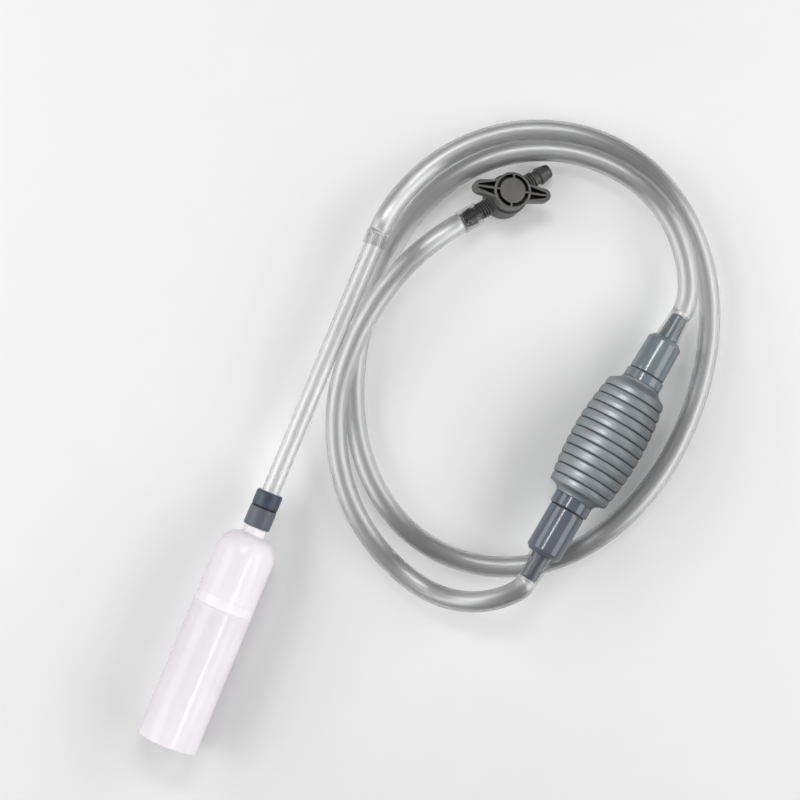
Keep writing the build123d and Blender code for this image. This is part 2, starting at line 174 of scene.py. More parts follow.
def rounded(points, radius, steps=3):
    """Closed outline with each corner rounded by up to the given radius in mm."""
    result = []
    count = len(points)
    for i in range(count):
        here = Vector(points[i])
        back = Vector(points[i - 1]) - here
        ahead = Vector(points[(i + 1) % count]) - here
        reach = min(radius, back.length * 0.45, ahead.length * 0.45)
        a = here + back.normalized() * reach
        b = here + ahead.normalized() * reach
        for step in range(steps + 1):
            t = step / steps
            p = a * (1 - t) ** 2 + here * 2 * t * (1 - t) + b * t ** 2
            result.append((p.x, p.y))
    return result


def clamped_spline(points, start_way, end_way, spacing):
    """Cubic spline by chord length with unit end slopes, sampled about every spacing m."""
    p = np.array([tuple(q) for q in points], float)
    h = np.linalg.norm(np.diff(p, axis=0), axis=1)
    t = np.concatenate([[0], np.cumsum(h)])
    n = len(p)
    a = np.zeros((n, n))
    rhs = np.zeros((n, 3))
    a[0, 0] = a[-1, -1] = 1
    rhs[0], rhs[-1] = start_way, end_way
    for i in range(1, n - 1):
        a[i, i - 1], a[i, i], a[i, i + 1] = h[i], 2 * (h[i - 1] + h[i]), h[i - 1]
        rhs[i] = 3 * (h[i] / h[i - 1] * (p[i] - p[i - 1]) + h[i - 1] / h[i] * (p[i + 1] - p[i]))
    slope = np.linalg.solve(a, rhs)
    out = []
    for i in range(n - 1):
        steps = max(1, int(round(h[i] / spacing)))
        for step in range(steps):
            s = step / steps
            out.append(
                (1 + 2 * s) * (1 - s) ** 2 * p[i]
                + s * (1 - s) ** 2 * h[i] * slope[i]
                + s * s * (3 - 2 * s) * p[i + 1]
                + s * s * (s - 1) * h[i] * slope[i + 1]
            )
    out.append(p[-1])
    return [Vector(q) for q in out]


def hose_mesh(name, centres, outer, inner, material, segments=40):
    """Hollow hose along centre points with an outer and inner radius at each (metres)."""
    ways = []
    for i in range(len(centres)):
        a = centres[max(i - 1, 0)]
        b = centres[min(i + 1, len(centres) - 1)]
        ways.append((b - a).normalized())
    up = Vector((0, 0, 1))
    run, verts, uvs, faces = 0.0, [], [], []
    rings = []
    for i, (centre, way) in enumerate(zip(centres, ways)):
        if i:
            run += (centre - centres[i - 1]).length
        flat = (up - way * up.dot(way)).normalized()
        side = way.cross(flat)
        rings.append((centre, flat, side, run))
    for radii in (outer, inner):
        for (centre, flat, side, run), r in zip(rings, radii):
            for k in range(segments):
                angle = 2 * math.pi * k / segments
                verts.append(centre + (side * math.sin(angle) - flat * math.cos(angle)) * r)
                uvs.append((run, angle * HOSE_R * MM))
    n = len(rings)
    for shell in range(2):
        base = shell * n * segments
        for i in range(n - 1):
            for k in range(segments):
                m = (k + 1) % segments
                quad = (
                    base + i * segments + k,
                    base + i * segments + m,
                    base + (i + 1) * segments + m,
                    base + (i + 1) * segments + k,
                )
                faces.append(quad[::-1] if shell else quad)
    for i in (0, n - 1):
        for k in range(segments):
            m = (k + 1) % segments
            a, b = i * segments + k, i * segments + m
            c, d = a + n * segments, b + n * segments
            faces.append((a, c, d, b) if i == 0 else (a, b, d, c))
    piece = new_piece(name, verts, faces, uvs, material, 50)
    work = bmesh.new()
    work.from_mesh(piece.data)
    bmesh.ops.recalc_face_normals(work, faces=work.faces)
    work.to_mesh(piece.data)
    work.free()
    return piece


# ---- material makers ------------------------------------------------------------------
class Nodes:
    """Small helper that builds a node material a line at a time."""

    def __init__(self, name):
        self.material = bpy.data.materials.new(name)
        self.material.use_nodes = True
        self.tree = self.material.node_tree
        self.tree.nodes.clear()
        self.out = self.tree.nodes.new("ShaderNodeOutputMaterial")

    @classmethod
    def around(cls, tree):
        """The same helper on a tree that is there already."""
        maker = cls.__new__(cls)
        maker.tree = tree
        tree.nodes.clear()
        return maker

    def add(self, kind, inputs=None, **settings):
        node = self.tree.nodes.new("ShaderNode" + kind)
        for key, value in settings.items():
            setattr(node, key, value)
        for key, value in (inputs or {}).items():
            self.put(node, key, value)
        return node

    def put(self, node, key, value):
        socket = node.inputs[key]
        if isinstance(value, bpy.types.NodeSocket):
            self.tree.links.new(value, socket)
        elif isinstance(value, bpy.types.Node):
            self.tree.links.new(value.outputs[0], socket)
        else:
            socket.default_value = value

    def math(self, operation, a, b=0.0, clamp=False):
        node = self.add("Math", {0: a, 1: b}, operation=operation, use_clamp=clamp)
        return node.outputs[0]

    def ramp(self, value, *stops):
        """Colour ramp; each stop is (place, colour)."""
        node = self.add("ValToRGB", {0: value})
        while len(node.color_ramp.elements) < len(stops):
            node.color_ramp.elements.new(0.5)
        for element, (place, colour) in zip(node.color_ramp.elements, stops):
            element.position = place
            element.color = grey(colour)
        return node.outputs[0]

    def mix(self, factor, a, b, blend="MIX"):
        node = self.add("Mix", data_type="RGBA", blend_type=blend)
        for index, value in ((0, factor), (6, a), (7, b)):
            self.put(node, index, grey(value) if index and not hasattr(value, "type") else value)
        return node.outputs[2]

    def noise(self, coordinates, scale, detail=3.0, roughness=0.5, stretch=None):
        if stretch:
            mapping = self.add("Mapping", {"Vector": coordinates, "Scale": stretch})
            coordinates = mapping.outputs[0]
        inputs = {"Vector": coordinates, "Scale": scale, "Detail": detail, "Roughness": roughness}
        return self.add("TexNoise", inputs).outputs[0]

    def bump(self, height, strength, distance, normal=None):
        inputs = {"Height": height, "Strength": strength, "Distance": distance}
        if normal:
            inputs["Normal"] = normal
        return self.add("Bump", inputs).outputs[0]

    def finish(self, shader):
        self.tree.links.new(shader.outputs[0], self.out.inputs["Surface"])
        return self.material


def grey(value):
    """An RGBA tuple from a number, an RGB or an RGBA."""
    if isinstance(value, (int, float)):
        return (value, value, value, 1.0)
    value = tuple(value)
    return value if len(value) == 4 else value + (1.0,)


def moulded(name, base, dark, rough, grain=0.04, scuff_and_highlight=None, lines=0.0, coat=0.0, recess_shade_reach=0.0):
    """Moulded opaque plastic: mottled colour, fine grain, optional pale edges that are partly wear and partly
    painted highlight, and optional painted shade in recesses.
    """
    m = Nodes(name)
    place = m.add("NewGeometry").outputs["Position"]
    uv = m.add("UVMap", uv_map="run_around").outputs[0]
    cloud = m.noise(place, 60, 4)
    speck = m.noise(place, 900, 2)
    colour = m.mix(m.ramp(cloud, (0.3, 0.0), (0.7, 1.0)), dark, base)
    colour = m.mix(m.math("MULTIPLY", speck, 0.18), colour, 0.5, "OVERLAY")
    edge = m.add("Bevel", {"Radius": 0.0006}, samples=6)
    # Pale rounded edges in patches: partly wear, partly a painted highlight where the edges would catch light.
    if scuff_and_highlight:
        true_normal = m.add("NewGeometry").outputs["Normal"]
        dot = m.add("VectorMath", {0: edge.outputs[0], 1: true_normal}, operation="DOT_PRODUCT")
        scuff_highlight_mask = m.ramp(m.math("SUBTRACT", 1.0, dot.outputs["Value"]), (0.01, 0.0), (0.12, 1.0))
        scuff_highlight_mask = m.math("MULTIPLY", scuff_highlight_mask, m.ramp(m.noise(place, 400, 3), (0.25, 0.3), (0.6, 1.0)))
        colour = m.mix(scuff_highlight_mask, colour, scuff_and_highlight)
    # Painted shade: the colour is darkened by ambient occlusion in recesses and creases.
    if recess_shade_reach:
        near = m.add("AmbientOcclusion", {"Distance": recess_shade_reach}, samples=8)
        colour = m.mix(1.0, colour, m.ramp(near.outputs["AO"], (0.3, 0.06), (0.85, 1.0)), "MULTIPLY")
    height = m.math("MULTIPLY", m.noise(place, 1400, 2), grain)
    if lines:
        drawn = m.noise(uv, 1.0, 2, stretch=(20, 1600, 1))
        height = m.math("ADD", height, m.math("MULTIPLY", drawn, lines))
    normal = m.bump(height, 0.35, 0.0006, edge.outputs[0])
    roughness = m.math("ADD", m.math("MULTIPLY", cloud, 0.12), rough - 0.06)
    shader = m.add(
        "BsdfPrincipled",
        {
            "Base Color": colour,
            "Roughness": roughness,
            "IOR": 1.5,
            "Normal": normal,
            "Coat Weight": coat,
            "Coat Roughness": 0.08,
        },
    )
    return m.finish(shader)


def clear_plastic(name, tint, rough, ior, shadow, streak, haze):
    """Clear extruded plastic: it refracts, and its drawn lines spread light across the run."""
    m = Nodes(name)
    place = m.add("NewGeometry").outputs["Position"]
    uv = m.add("UVMap", uv_map="run_around").outputs[0]
    long_lines = m.noise(uv, 1.0, 3, stretch=(2.5, 900, 1))
    waves = m.noise(place, 45, 2)
    height = m.math("ADD", m.math("MULTIPLY", long_lines, streak), m.math("MULTIPLY", waves, 0.6))
    normal = m.bump(height, 0.1, 0.0006)
    colour = m.mix(m.ramp(long_lines, (0.35, 0.0), (0.65, 1.0)), [c * 0.93 for c in tint], tint)
    snug = m.add("Attribute", attribute_name="snug").outputs["Fac"]
    colour = m.mix(snug, colour, 0.9)
    glass = m.add(
        "BsdfPrincipled",
        {
            "Base Color": colour,
            "Roughness": rough,
            "IOR": ior,
            "Transmission Weight": 1.0,
            "Normal": normal,
        },
    )
    along = m.add("Tangent", direction_type="UV_MAP", uv_map="run_around")
    spread = m.add(
        "BsdfAnisotropic",
        {"Color": grey(0.95), "Roughness": 0.38, "Anisotropy": 0.55, "Tangent": along, "Normal": normal},
    )
    drawn = m.ramp(m.noise(uv, 1.0, 2, stretch=(1.2, 1500, 1)), (0.3, haze * 0.85), (0.7, haze * 1.12))
    drawn = m.math("MULTIPLY", drawn, m.math("SUBTRACT", 1.0, m.math("MULTIPLY", snug, 0.8)))
    hazy = m.add("MixShader", {0: drawn, 1: glass.outputs[0], 2: spread.outputs[0]})
    wetted = m.add("BsdfTransparent", {"Color": grey(0.93)})
    hazy = m.add("MixShader", {0: m.math("MULTIPLY", snug, 0.78), 1: hazy.outputs[0], 2: wetted.outputs[0]})
    through = m.add("BsdfTransparent", {"Color": grey(shadow)})
    is_shadow = m.add("LightPath").outputs["Is Shadow Ray"]
    mixed = m.add("MixShader", {0: is_shadow, 1: hazy.outputs[0], 2: through.outputs[0]})
    return m.finish(mixed)


def milky_plastic(name):
    """Milky bell plastic: part see-through, part soft white, with a smooth gloss, painted shade towards its
    outline and a painted glow in its crevices.
    """
    m = Nodes(name)
    place = m.add("NewGeometry").outputs["Position"]
    facing = m.add("LayerWeight", {"Blend": 0.5}).outputs["Facing"]
    cloud = m.noise(place, 28, 3)
    body = m.mix(m.ramp(cloud, (0.3, 0.0), (0.7, 1.0)), (0.9, 0.865, 0.9), (0.94, 0.905, 0.94))
    # Painted shade: the colour turns darker and pinker towards the outline.
    body = m.mix(m.ramp(facing, (0.35, 0.0), (1.0, 1.0)), body, (0.8, 0.735, 0.79))
    normal = m.bump(m.noise(place, 160, 2), 0.05, 0.0004)
    skin = m.add(
        "BsdfPrincipled",
        {
            "Base Color": body,
            "Roughness": 0.22,
            "IOR": 1.48,
            "Normal": normal,
            "Subsurface Weight": 0.35,
            "Subsurface Radius": (0.004, 0.0035, 0.004),
            "Subsurface Scale": 1.0,
        },
    )
    # Painted light: crevices such as the seam glow white by emission, in place of light passing through the milky
    # walls.
    near = m.add("AmbientOcclusion", {"Distance": 0.0009}, samples=8)
    gap = m.ramp(near.outputs["AO"], (0.25, 1.0), (0.8, 0.0))
    painted_crevice_glow = m.add("Emission", {"Color": (0.93, 0.9, 0.93, 1), "Strength": 0.9})
    skin = m.add("MixShader", {0: gap, 1: skin.outputs[0], 2: painted_crevice_glow.outputs[0]})
    clear = m.add("BsdfTransparent", {"Color": (0.97, 0.955, 0.97, 1)})
    share = m.ramp(facing, (0.0, 0.62), (0.7, 0.8), (1.0, 0.96))
    mixed = m.add("MixShader", {0: share, 1: clear.outputs[0], 2: skin.outputs[0]})
    return m.finish(mixed)


def soft_rubber(name, base, dark):
    """Satin soft plastic of the bulb, with fine rings round it, a mottled tone, painted shade in the grooves
    between the rings and painted shade darkening it towards its outline.
    """
    m = Nodes(name)
    place = m.add("NewGeometry").outputs["Position"]
    uv = m.add("UVMap", uv_map="run_around").outputs[0]
    rings = m.noise(uv, 1.0, 3, stretch=(1500, 12, 1))
    cloud = m.noise(place, 50, 4)
    colour = m.mix(m.ramp(cloud, (0.25, 0.0), (0.75, 1.0)), dark, base)
    colour = m.mix(m.math("MULTIPLY", rings, 0.15), colour, 0.55, "OVERLAY")
    # Painted shade: the colour is darkened by ambient occlusion in the grooves between the rings.
    near = m.add("AmbientOcclusion", {"Distance": 0.0035}, samples=8)
    shade = m.ramp(near.outputs["AO"], (0.4, 0.06), (0.8, 0.85), (1.0, 1.0))
    colour = m.mix(1.0, colour, shade, "MULTIPLY")
    # Painted shade: the colour is darkened towards the outline, where the bulb turns away from the camera.
    facing = m.add("LayerWeight", {"Blend": 0.5}).outputs["Facing"]
    colour = m.mix(1.0, colour, m.ramp(facing, (0.3, 1.0), (0.9, 0.5)), "MULTIPLY")
    height = m.math("ADD", m.math("MULTIPLY", rings, 0.5), m.math("MULTIPLY", m.noise(place, 700, 3), 0.4))
    shader = m.add(
        "BsdfPrincipled",
        {
            "Base Color": colour,
            "Roughness": m.math("ADD", m.math("MULTIPLY", cloud, 0.15), 0.36),
            "IOR": 1.46,
            "Normal": m.bump(height, 0.25, 0.0004),
            "Coat Weight": 0.55,
            "Coat Roughness": 0.4,
        },
    )
    return m.finish(shader)


milky = milky_plastic("milky_bell")
hose_clear = clear_plastic("clear_hose_pvc", (0.55, 0.553, 0.56), 0.06, 1.43, 0.76, 0.4, 0.3)
tube_clear = clear_plastic("clear_rigid_tube", (0.84, 0.84, 0.84), 0.16, 1.36, 0.8, 0.08, 0.16)
slate = moulded("slate_neck", (0.06, 0.085, 0.122), (0.042, 0.062, 0.092), 0.34, 0.05, (0.2, 0.24, 0.3))
slate_light = moulded(
    "slate_collar", (0.13, 0.148, 0.176), (0.095, 0.112, 0.142), 0.34, 0.05, (0.2, 0.24, 0.28)
)
slate_inlet = moulded("slate_inlet", (0.14, 0.172, 0.19), (0.118, 0.147, 0.165), 0.2, 0.02, None, 0.03, 0.3)
slate_outlet = moulded("slate_outlet", (0.088, 0.104, 0.13), (0.074, 0.09, 0.113), 0.2, 0.02, None, 0.03, 0.3)
bulb_grey = soft_rubber("bulb_soft_plastic", (0.102, 0.119, 0.126), (0.08, 0.096, 0.103))
black = moulded("black_seal", (0.012, 0.012, 0.014), (0.006, 0.006, 0.007), 0.5, 0.1)
silicone = moulded("pale_silicone", (0.62, 0.6, 0.56), (0.52, 0.5, 0.47), 0.4, 0.05)
tap_dark = moulded(
    "tap_nylon", (0.07, 0.068, 0.066), (0.04, 0.039, 0.038), 0.4, 0.12, (0.26, 0.255, 0.25), recess_shade_reach=0.005
)
tap_disc = moulded(
    "tap_handle_nylon",
    (0.138, 0.135, 0.128),
    (0.09, 0.087, 0.083),
    0.4,
    0.15,
    (0.3, 0.295, 0.285),
    recess_shade_reach=0.006,
)


def on_body(piece, body, slot, *nodes):
    """Ride on a CAD body and stand for CAD nodes; the slot argument is not used."""
    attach(piece, body)
    if nodes:
        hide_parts(*nodes)
    return piece


# ---- wand -----------------------------------------------------------------------------
SEAM = 109.0
SEAM_R = BELL_R - 0.45
BORE_R = BELL_R - 1.55
SPIGOT_R = SEAM_R - 1.6
SPIGOT_BORE_R = SPIGOT_R - 1.4
DOME_R = BELL_R - 0.6
CURVE_START = 149.0
SHOULDER = 19.0
NECK_R = 8.6
NECK_BORE_R = 6.0


def build_wand():
    tube_outline = (
        [(BORE_R, 0.75)]
        + arc(((BELL_R + BORE_R) / 2, 0.75), (0.775, 0.75), 180, 360, 8)
        + [(BELL_R - 0.05, 20), (SEAM_R + 0.1, 90), (SEAM_R, SEAM - 3.2)]
        + [(SEAM_R + 0.22, SEAM - 1.9), (SEAM_R + 0.4, SEAM - 1.2), (SEAM_R + 0.4, SEAM - 0.6)]
        + [(SEAM_R + 0.15, SEAM - 0.1)]
        + [(SEAM_R - 0.1, SEAM), (SPIGOT_R, SEAM), (SPIGOT_R, SEAM + 6.6), (SPIGOT_R - 0.4, SEAM + 7)]
        + [(SPIGOT_BORE_R + 0.2, SEAM + 7), (SPIGOT_BORE_R, SEAM + 6.7), (SPIGOT_BORE_R, SEAM - 2)]
        + [(BORE_R, SEAM - 5), (BORE_R, 50)]
    )
    tube = lathe("wide_tube_shell", wand, tube_outline, milky, 160, crease=30)
    on_body(tube, "wide_tube", "clear_bell", "gravel_tube")
    inner_r = SPIGOT_R + 0.05
    dome_outline = (
        [(inner_r, SEAM + 0.06), (DOME_R - 0.1, SEAM + 0.05), (DOME_R, SEAM + 0.12), (DOME_R, SEAM + 7.6)]
        + [(DOME_R + 0.12, SEAM + 8.0), (DOME_R, SEAM + 8.4), (DOME_R, 130)]
        + arc((NECK_R, CURVE_START), (DOME_R - NECK_R, SHOULDER), 0, 84, 24)
        + [(NECK_R + 0.7, CURVE_START + SHOULDER + 0.1), (NECK_R + 0.15, CURVE_START + SHOULDER + 0.7)]
        + [(NECK_R, CURVE_START + SHOULDER + 1.6), (NECK_R, 180), (NECK_BORE_R, 180)]
        + [(NECK_BORE_R, CURVE_START + SHOULDER - 1.5)]
        + arc((NECK_BORE_R, CURVE_START), (inner_r - NECK_BORE_R, SHOULDER - 1.5), 84, 0, 24)
        + [(inner_r, 130)]
    )
    dome = lathe("bell_dome_shell", wand, dome_outline, milky, 160, crease=30)
    on_body(dome, ROOT, "clear_bell", "bell_dome")

    def knurl(radius, run):
        return (48, 0.16) if radius > 10 else (0, 0)

    collar_outline = rounded(
        [(8.65, 174), (9.7, 174), (10.3, 174.8), (10.3, 178), (10.3, 186), (10.3, 189), (8.6, 189)]
        + [(8.6, 192.2), (8.95, 192.7), (8.95, 193.3), (8.6, 193.8), (8.6, 194.2), (8.95, 194.7)]
        + [(8.95, 195.3), (8.6, 195.8), (8.6, 198.4), (7.05, 198.4), (7.05, 180.05), (8.65, 180.05)],
        0.35,
    )
    collar = lathe("neck_collar_shell", wand, collar_outline, slate_light, 192, ribs=knurl)
    on_body(collar, ROOT, "slate_plastic", "neck_collar")
    seal_outline = rounded([(8.65, 189.05), (9.75, 189.05), (9.75, 190.45), (8.65, 190.45)], 0.4)
    seal = lathe("neck_seal_ring", wand, seal_outline, black)
    on_body(seal, ROOT, "black_rubber", "neck_seal")
    nut_outline = rounded(
        [(9.1, 190.5), (10.15, 190.5), (10.15, 193), (10.15, 199), (10.15, 200.6), (9.35, 202)]
        + [(7.25, 202), (7.25, 200.4), (9.1, 198.7)],
        0.4,
    )
    nut = lathe("neck_nut_shell", wand, nut_outline, slate, 192, ribs=knurl)
    on_body(nut, "nut", "slate_plastic", "neck_nut")
    rigid_outline = rounded(
        [(5.7, 180.2), (TUBE_R, 180.2), (TUBE_R, 250), (TUBE_R, WAND_LENGTH), (5.7, WAND_LENGTH), (5.7, 250)],
        0.3,
    )
    rigid = lathe("rigid_tube_shell", wand, rigid_outline, tube_clear, 72)
    on_body(rigid, ROOT, "clear_tube", "extension_tube")


# ---- bulb ------------------------------------------------------------------------------
RINGS = 12
PITCH = 7.55
BULB_MIDDLE = 94.4
BARREL_MIDDLE_R = 27.6
BARREL_END_R = 23.5
GROOVE = 1.2
NOTCH = 0.85
FIRST_CREST = BULB_MIDDLE - PITCH * (RINGS - 1) / 2
LAST_CREST = BULB_MIDDLE + PITCH * (RINGS - 1) / 2
LOW_SHOULDER = FIRST_CREST - 2.6
HIGH_SHOULDER = LAST_CREST + 3.0
BULB_NECK_R = 15.1
BULB_BORE_R = 12.0


def barrel_r(run):
    share = (run - BULB_MIDDLE) / (LAST_CREST - BULB_MIDDLE)
    return BARREL_MIDDLE_R - (BARREL_MIDDLE_R - BARREL_END_R) * share ** 2


def ring_points(crest):
    """Section of one ring from groove to groove, with a faint line round its middle."""
    points = []
    half = [0.05, 0.1, 0.35, 0.6, 0.76, 0.88, 0.95]
    for share in [-1.0] + [-value for value in reversed(half)] + [0.0] + half:
        run = crest + share * PITCH / 2
        r = barrel_r(run) - GROOVE * abs(share) ** 4
        if share == -1.0:
            r -= NOTCH
        if abs(share) <= 0.05:
            r += 0.1
        points.append((r, run))
    return points


def build_bellows():
    outer = []
    for ring in range(RINGS):
        outer += ring_points(FIRST_CREST + ring * PITCH)
    outer = [(r, run) for r, run in outer if LOW_SHOULDER + 0.2 < run < HIGH_SHOULDER - 0.4]
    low = barrel_r(LOW_SHOULDER)
    high = barrel_r(HIGH_SHOULDER)
    low_neck = [(BULB_BORE_R + 1.6, 41.45), (BULB_BORE_R + 1.6, 45.4)]
    low_neck += [(BULB_NECK_R, 45.45), (BULB_NECK_R + 0.25, 46.2)]
    low_neck += [(BULB_NECK_R + 0.8, 47.3), (BULB_NECK_R + 1.9, 48.4)]
    low_neck += [(BULB_NECK_R + 3.6, 49.3), (low - 2.6, 50.0)]
    high_neck = [(high - 1.0, HIGH_SHOULDER - 0.2), (high - 1.9, HIGH_SHOULDER + 0.7)]
    high_neck += [(high - 3.4, HIGH_SHOULDER + 1.6)]
    high_neck += [(BULB_NECK_R + 2.8, HIGH_SHOULDER + 2.8), (BULB_NECK_R + 1.0, HIGH_SHOULDER + 3.9)]
    high_neck += [(BULB_NECK_R + 0.4, HIGH_SHOULDER + 5.0), (BULB_NECK_R + 0.3, 144.8)]
    high_neck += [(BULB_BORE_R + 1.6, 144.95)]
    high_neck += [(BULB_BORE_R + 1.6, 147.9), (BULB_BORE_R, 147.95)]
    high_neck += [(BULB_BORE_R, HIGH_SHOULDER + 1.4)]
    inner = []
    for ring in reversed(range(RINGS)):
        crest = FIRST_CREST + ring * PITCH
        inner.append((barrel_r(crest) - 1.9, crest))
        if ring:
            inner.append((barrel_r(crest - PITCH / 2) - 3.3, crest - PITCH / 2))
    outline = low_neck + outer + high_neck + inner
    outline += [(BULB_BORE_R, LOW_SHOULDER + 0.6), (BULB_BORE_R, 41.45)]
    bellows = lathe("bulb_bellows_skin", bulb, outline, bulb_grey, 144, crease=60)
    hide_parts("bulb_bellows")
    bulb.at(142.0)
    bulb.at(50.0)
    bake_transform(bellows)


def build_valve_end(line, collar, cap_end, end_r, material, body, prefix):
    """Spigot cap of one end of the bulb, drawn outwards; the CAD valve body is its collar."""
    shoulder = cap_end + 2.6
    tip = shoulder + 20
    bore = 4.4
    cap_outline = rounded(
        [(12.4, collar + 0.8), (13.65, collar + 0.8), (13.95, collar + 1.2), (13.95, collar + 4)]
        + [(end_r, cap_end - 0.8), (end_r - 0.5, cap_end), (end_r - 2.6, shoulder - 0.3)]
        + [(end_r - 3.6, shoulder), (7.6, shoulder), (7.3, shoulder + 5), (6.2, tip - 0.8), (5.5, tip)]
        + [(bore, tip), (bore, cap_end - 1), (end_r - 3.55, cap_end - 1), (end_r - 1.95, cap_end - 3)]
        + [(12.4, collar + 5)],
        0.5,
    )
    cap = lathe(prefix + "_cap_shell", line, cap_outline, material, 128)
    on_body(cap, body, "slate_plastic", prefix + "_spigot_cap")


# ---- hoses --------------------------------------------------------------------------------
SUCTION_RUN = [
    (-21.9, 179.3, 18.0),
    (9.0, 207.7, 11.0),
    (55.6, 226.9, 8.15),
    (103.8, 227.5, 8.15),
    (159.8, 203.0, 8.15),
    (198.1, 151.3, 8.15),
    (210.2, 94.1, 8.15),
    (197.9, 21.7, 8.15),
    (156.2, -50.3, 8.15),
    (101.4, -90.0, 8.15),
    (46.1, -98.3, 8.15),
    (-10.0, -76.7, 8.15),
    (-47.8, -23.4, 8.15),
    (-57.2, 34.1, 8.15),
    (-45.3, 101.7, 8.2),
    (-7.3, 171.5, 8.8),
    (41.5, 205.7, 11.0),
    (90.3, 213.3, 13.6),
    (138.3, 199.9, 17.0),
    (170.3, 174.1, 19.6),
    (191.6, 125.6, 20.4),
    (192.6, 108.8, 20.4),
]
DISCHARGE_RUN = [
    (59.5, -116.9, 36.2),
    (31.7, -123.5, 27.2),
    (-1.3, -116.1, 14.6),
    (-26.3, -98.1, 9.3),
    (-57.1, -55.8, 8.8),
    (-70.3, -1.9, 14.0),
    (-68.1, 34.2, 21.4),
    (-58.7, 64.2, 27.4),
    (-33.3, 109.2, 29.6),
    (-4.9, 139.2, 31.4),
]
COVER_WALL = 1.75
TAPER = 3.6
SPIGOT_COVER = ((38.6 + 0.4, 7.65), (58.6, 6.25))
OUTLET_COVER = ((48.0 + 0.4, 7.65), (68.0, 6.25))
TAP_COVER = ((-TAP_SPAN / 2 + 14.0, 7.02), (-TAP_SPAN / 2, 7.02))
WAND_COVER = ((WAND_LENGTH - 9.2, 7.05), (WAND_LENGTH, 7.05))


def covered(line, cover, steps):
    """Centres and bore radii over a stretched end, from its mouth to its own size."""
    (near, near_r), (far, far_r) = cover
    away = math.copysign(TAPER, far - near)
    stations = [(near, near_r)]
    for i in range(1, steps + 1):
        stations.append((near + (far - near) * i / steps, near_r + (far_r - near_r) * i / steps))
    for share in (0.15, 0.35, 0.6, 0.85):
        ease = share * share * (3 - 2 * share)
        stations.append((far + away * share, far_r + (HOSE_BORE_R - far_r) * ease))
    return [(line.at(run), r * MM) for run, r in stations]


def build_hose(name, first, last, between, material):
    """Hose from one covered end to the other; each end is (line, cover)."""
    head = covered(*first, 6)
    tail = covered(*last, 6)[::-1]
    starts = []
    for line, cover in (first, last):
        away = math.copysign(TAPER, cover[1][0] - cover[0][0])
        starts.append((line.at(cover[1][0] + away), line.way * math.copysign(1, away)))
    points = [starts[0][0]] + [Vector(p) * MM for p in between] + [starts[1][0]]
    middle = clamped_spline(points, starts[0][1], -starts[1][1], 0.0028)
    centres = [c for c, r in head] + middle + [c for c, r in tail]
    inner = [r for c, r in head] + [HOSE_BORE_R * MM] * len(middle) + [r for c, r in tail]
    wall = [COVER_WALL] * len(head) + [HOSE_R - HOSE_BORE_R] * len(middle) + [COVER_WALL] * len(tail)
    outer = [r + w * MM for r, w in zip(inner, wall)]
    hose = hose_mesh(name, centres, outer, inner, material)
    stretched = [1.0] * 7 + [0.7, 0.4, 0.1, 0.0]
    snug = stretched + [0.0] * len(middle) + stretched[::-1]
    around = len(hose.data.vertices) // (2 * len(centres))
    layer = hose.data.attributes.new("snug", "FLOAT", "POINT")
    layer.data.foreach_set("value", np.tile(np.repeat(np.array(snug, np.float32), around), 2))
    return hose


def build_hoses():
    start = (wand, WAND_COVER)
    end = (inlet_end, SPIGOT_COVER)
    suction = build_hose("suction_hose_skin", start, end, SUCTION_RUN, hose_clear)
    on_body(suction, ROOT, "clear_hose", "suction_hose")
    start = (outlet_end, OUTLET_COVER)
    end = (tap, TAP_COVER)
    discharge = build_hose("discharge_hose_skin", start, end, DISCHARGE_RUN, hose_clear)
    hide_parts("discharge_hose")
    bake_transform(discharge)


build_wand()
build_bellows()
build_valve_end(inlet_end, 7.5, 36.0, 13.4, slate_inlet, ROOT, "inlet")
build_valve_end(outlet_end, 9.4, 45.4, 13.9, slate_outlet, "outlet_end", "outlet")
build_hoses()

# ---- CAD nodes that stay, with their own materials --------------------------------------------
KEPT = {
    "tube_grip": black,
    "inlet_gasket": black,
    "outlet_gasket": black,
    "inlet_check_disc": silicone,
    "outlet_check_disc": silicone,
    "inlet_valve_body": slate_inlet,
    "outlet_valve_body": slate_outlet,
    "plug_o_rings": black,
    "plug_retainer": tap_dark,
    "tap_plug": tap_dark,
    "tap_body": tap_dark,
    "tap_handle": tap_disc,
}
for node, material in KEPT.items():
    obj = frame["nodes"][node]
    obj.data.materials.clear()
    obj.data.materials.append(material)

# ---- floor, light and camera --------------------------------------------------------------------
CAMERA_CENTRE = Vector((-0.02255, 0.0267, 0.012))
CAMERA_HEIGHT = 1.9
OVERHEAD = 0.18
SIDE_BRIGHT = 0.2
SIDE_DARK = 0.04
FRAME_WIDTH = 0.6
SENSOR = 36.0


def build_stage():
    m = Nodes("pale_floor")
    place = m.add("NewGeometry").outputs["Position"]
    speck = m.noise(place, 30, 3)
    colour = m.mix(speck, 0.92, 0.94)
    matt = m.add("BsdfPrincipled", {"Base Color": colour, "Roughness": 0.7, "Specular IOR Level": 0.1})
    floor_material = m.finish(matt)
    verts = [(x, y, -0.0003) for x, y in ((-6, -6), (6, -6), (6, 6), (-6, 6))]
    floor = new_piece("floor", verts, [(0, 1, 2, 3)], [(0, 0)] * 4, floor_material)


def build_world():
    """Soft studio: bright overhead and to the left and right, dim low down at top and bottom."""
    world = bpy.data.worlds.new("studio")
    bpy.context.scene.world = world
    world.use_nodes = True
    m = Nodes.around(world.node_tree)
    way = m.add("TexCoord").outputs["Generated"]
    parts = m.add("SeparateXYZ", {0: way}).outputs
    across = m.math("ABSOLUTE", parts[0])
    along = m.math("ABSOLUTE", parts[1])
    share = m.math("DIVIDE", across, m.math("ADD", m.math("ADD", across, along), 1e-4))
    sides = m.ramp(share, (0.38, SIDE_DARK), (0.72, SIDE_BRIGHT))
    height = m.ramp(parts[2], (0.22, 0.0), (0.62, 1.0))
    colour = m.mix(height, sides, OVERHEAD)
    back = m.add("Background", {"Color": colour, "Strength": 1.0})
    out = m.add("OutputWorld")
    m.tree.links.new(back.outputs[0], out.inputs["Surface"])


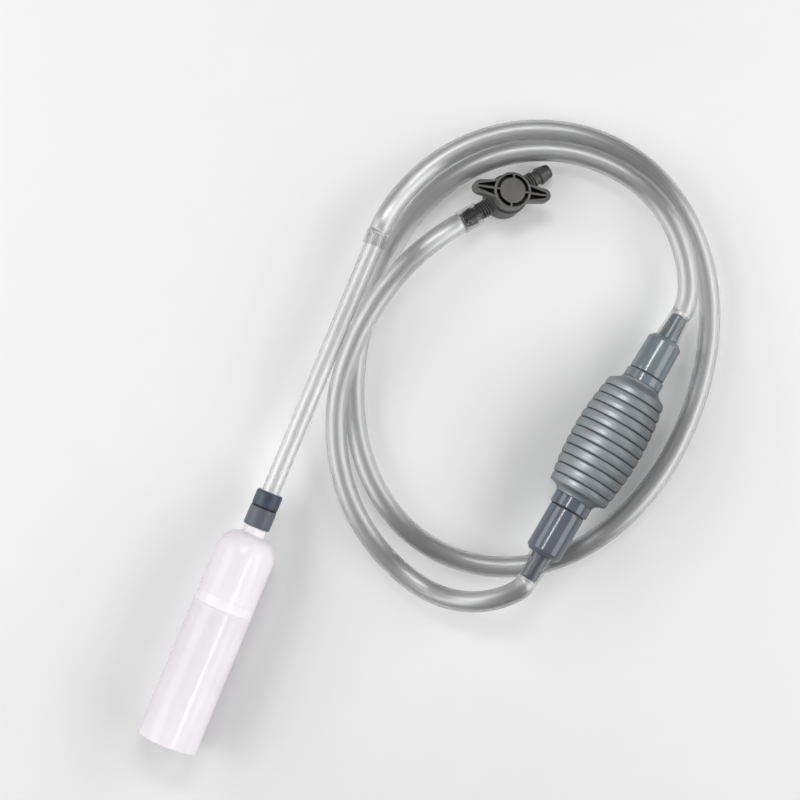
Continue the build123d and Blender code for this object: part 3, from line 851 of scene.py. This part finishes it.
def softbox(name, aim, away, level, reach, size, radiance, lit=()):
    """Light that looks at a point from a direction, long side along level; lit holds all it lights."""
    away = away.normalized()
    level = (level - away * level.dot(away)).normalized()
    light = bpy.data.lights.new(name, "AREA")
    light.shape = "RECTANGLE"
    light.size, light.size_y = size
    light.energy = radiance * math.pi * size[0] * size[1]
    lamp = bpy.data.objects.new(name, light)
    bpy.context.scene.collection.objects.link(lamp)
    turn = Matrix((level.cross(away), level, away)).transposed().to_4x4()
    lamp.matrix_world = Matrix.Translation(aim + away * reach) @ turn
    if lit:
        group = bpy.data.collections.new(name + "_lights")
        for piece in lit:
            group.objects.link(piece)
        lamp.light_linking.receiver_collection = group


def tilted(line, degrees):
    """Direction leaning from straight up to the right of an axis by an angle."""
    right = line.way.cross(Vector((0, 0, 1))).normalized()
    return Vector((0, 0, 1)) * math.cos(math.radians(degrees)) + right * math.sin(math.radians(degrees))


def build_lights():
    middle = Vector((0, 0, 0))
    north = Vector((0, 1, 0))
    softbox("left_side", middle, Vector((-1.2, 0.1, 0.8)), north, 1.45, (0.8, 2.0), 3.0)
    softbox("right_side", middle, Vector((1.2, -0.1, 0.8)), north, 1.45, (0.8, 2.0), 3.0)
    softbox("overhead", middle, Vector((0, 0.6, 1)), north.cross(Vector((0, 0, 1))), 1.8, (0.3, 0.8), 8)
    ends = [frame["nodes"][end + "_valve_body"] for end in ("inlet", "outlet")]
    ends += [bpy.data.objects[end + "_cap_shell"] for end in ("inlet", "outlet")]
    softbox("strip_over_bulb", bulb.at(90), tilted(bulb, -22), bulb.way, 1.5, (0.1, 1.2), 26, ends)
    skin = [bpy.data.objects["bulb_bellows_skin"]]
    softbox("sheen_over_bulb", bulb.at(90), tilted(bulb, -34), bulb.way, 1.5, (0.45, 1.2), 24, skin)
    bell = [bpy.data.objects[name] for name in ("wide_tube_shell", "bell_dome_shell")]
    softbox("softbox_over_bell", wand.at(60), tilted(wand, 29), wand.way, 1.5, (0.2, 1.3), 13, bell)
    dome_way = tilted(wand, -10) + wand.way * 0.55
    softbox("spot_over_dome", wand.at(160), dome_way, wand.side, 1.5, (0.2, 0.2), 12, bell[1:])


def build_camera():
    data = bpy.data.cameras.new("camera")
    data.sensor_width = SENSOR
    data.lens = SENSOR * CAMERA_HEIGHT / FRAME_WIDTH
    camera = bpy.data.objects.new("camera", data)
    bpy.context.scene.collection.objects.link(camera)
    camera.location = CAMERA_CENTRE + Vector((0, 0, CAMERA_HEIGHT))
    bpy.context.scene.camera = camera
    bpy.context.scene.view_settings.view_transform = "Standard"


build_stage()
build_world()
build_lights()
build_camera()
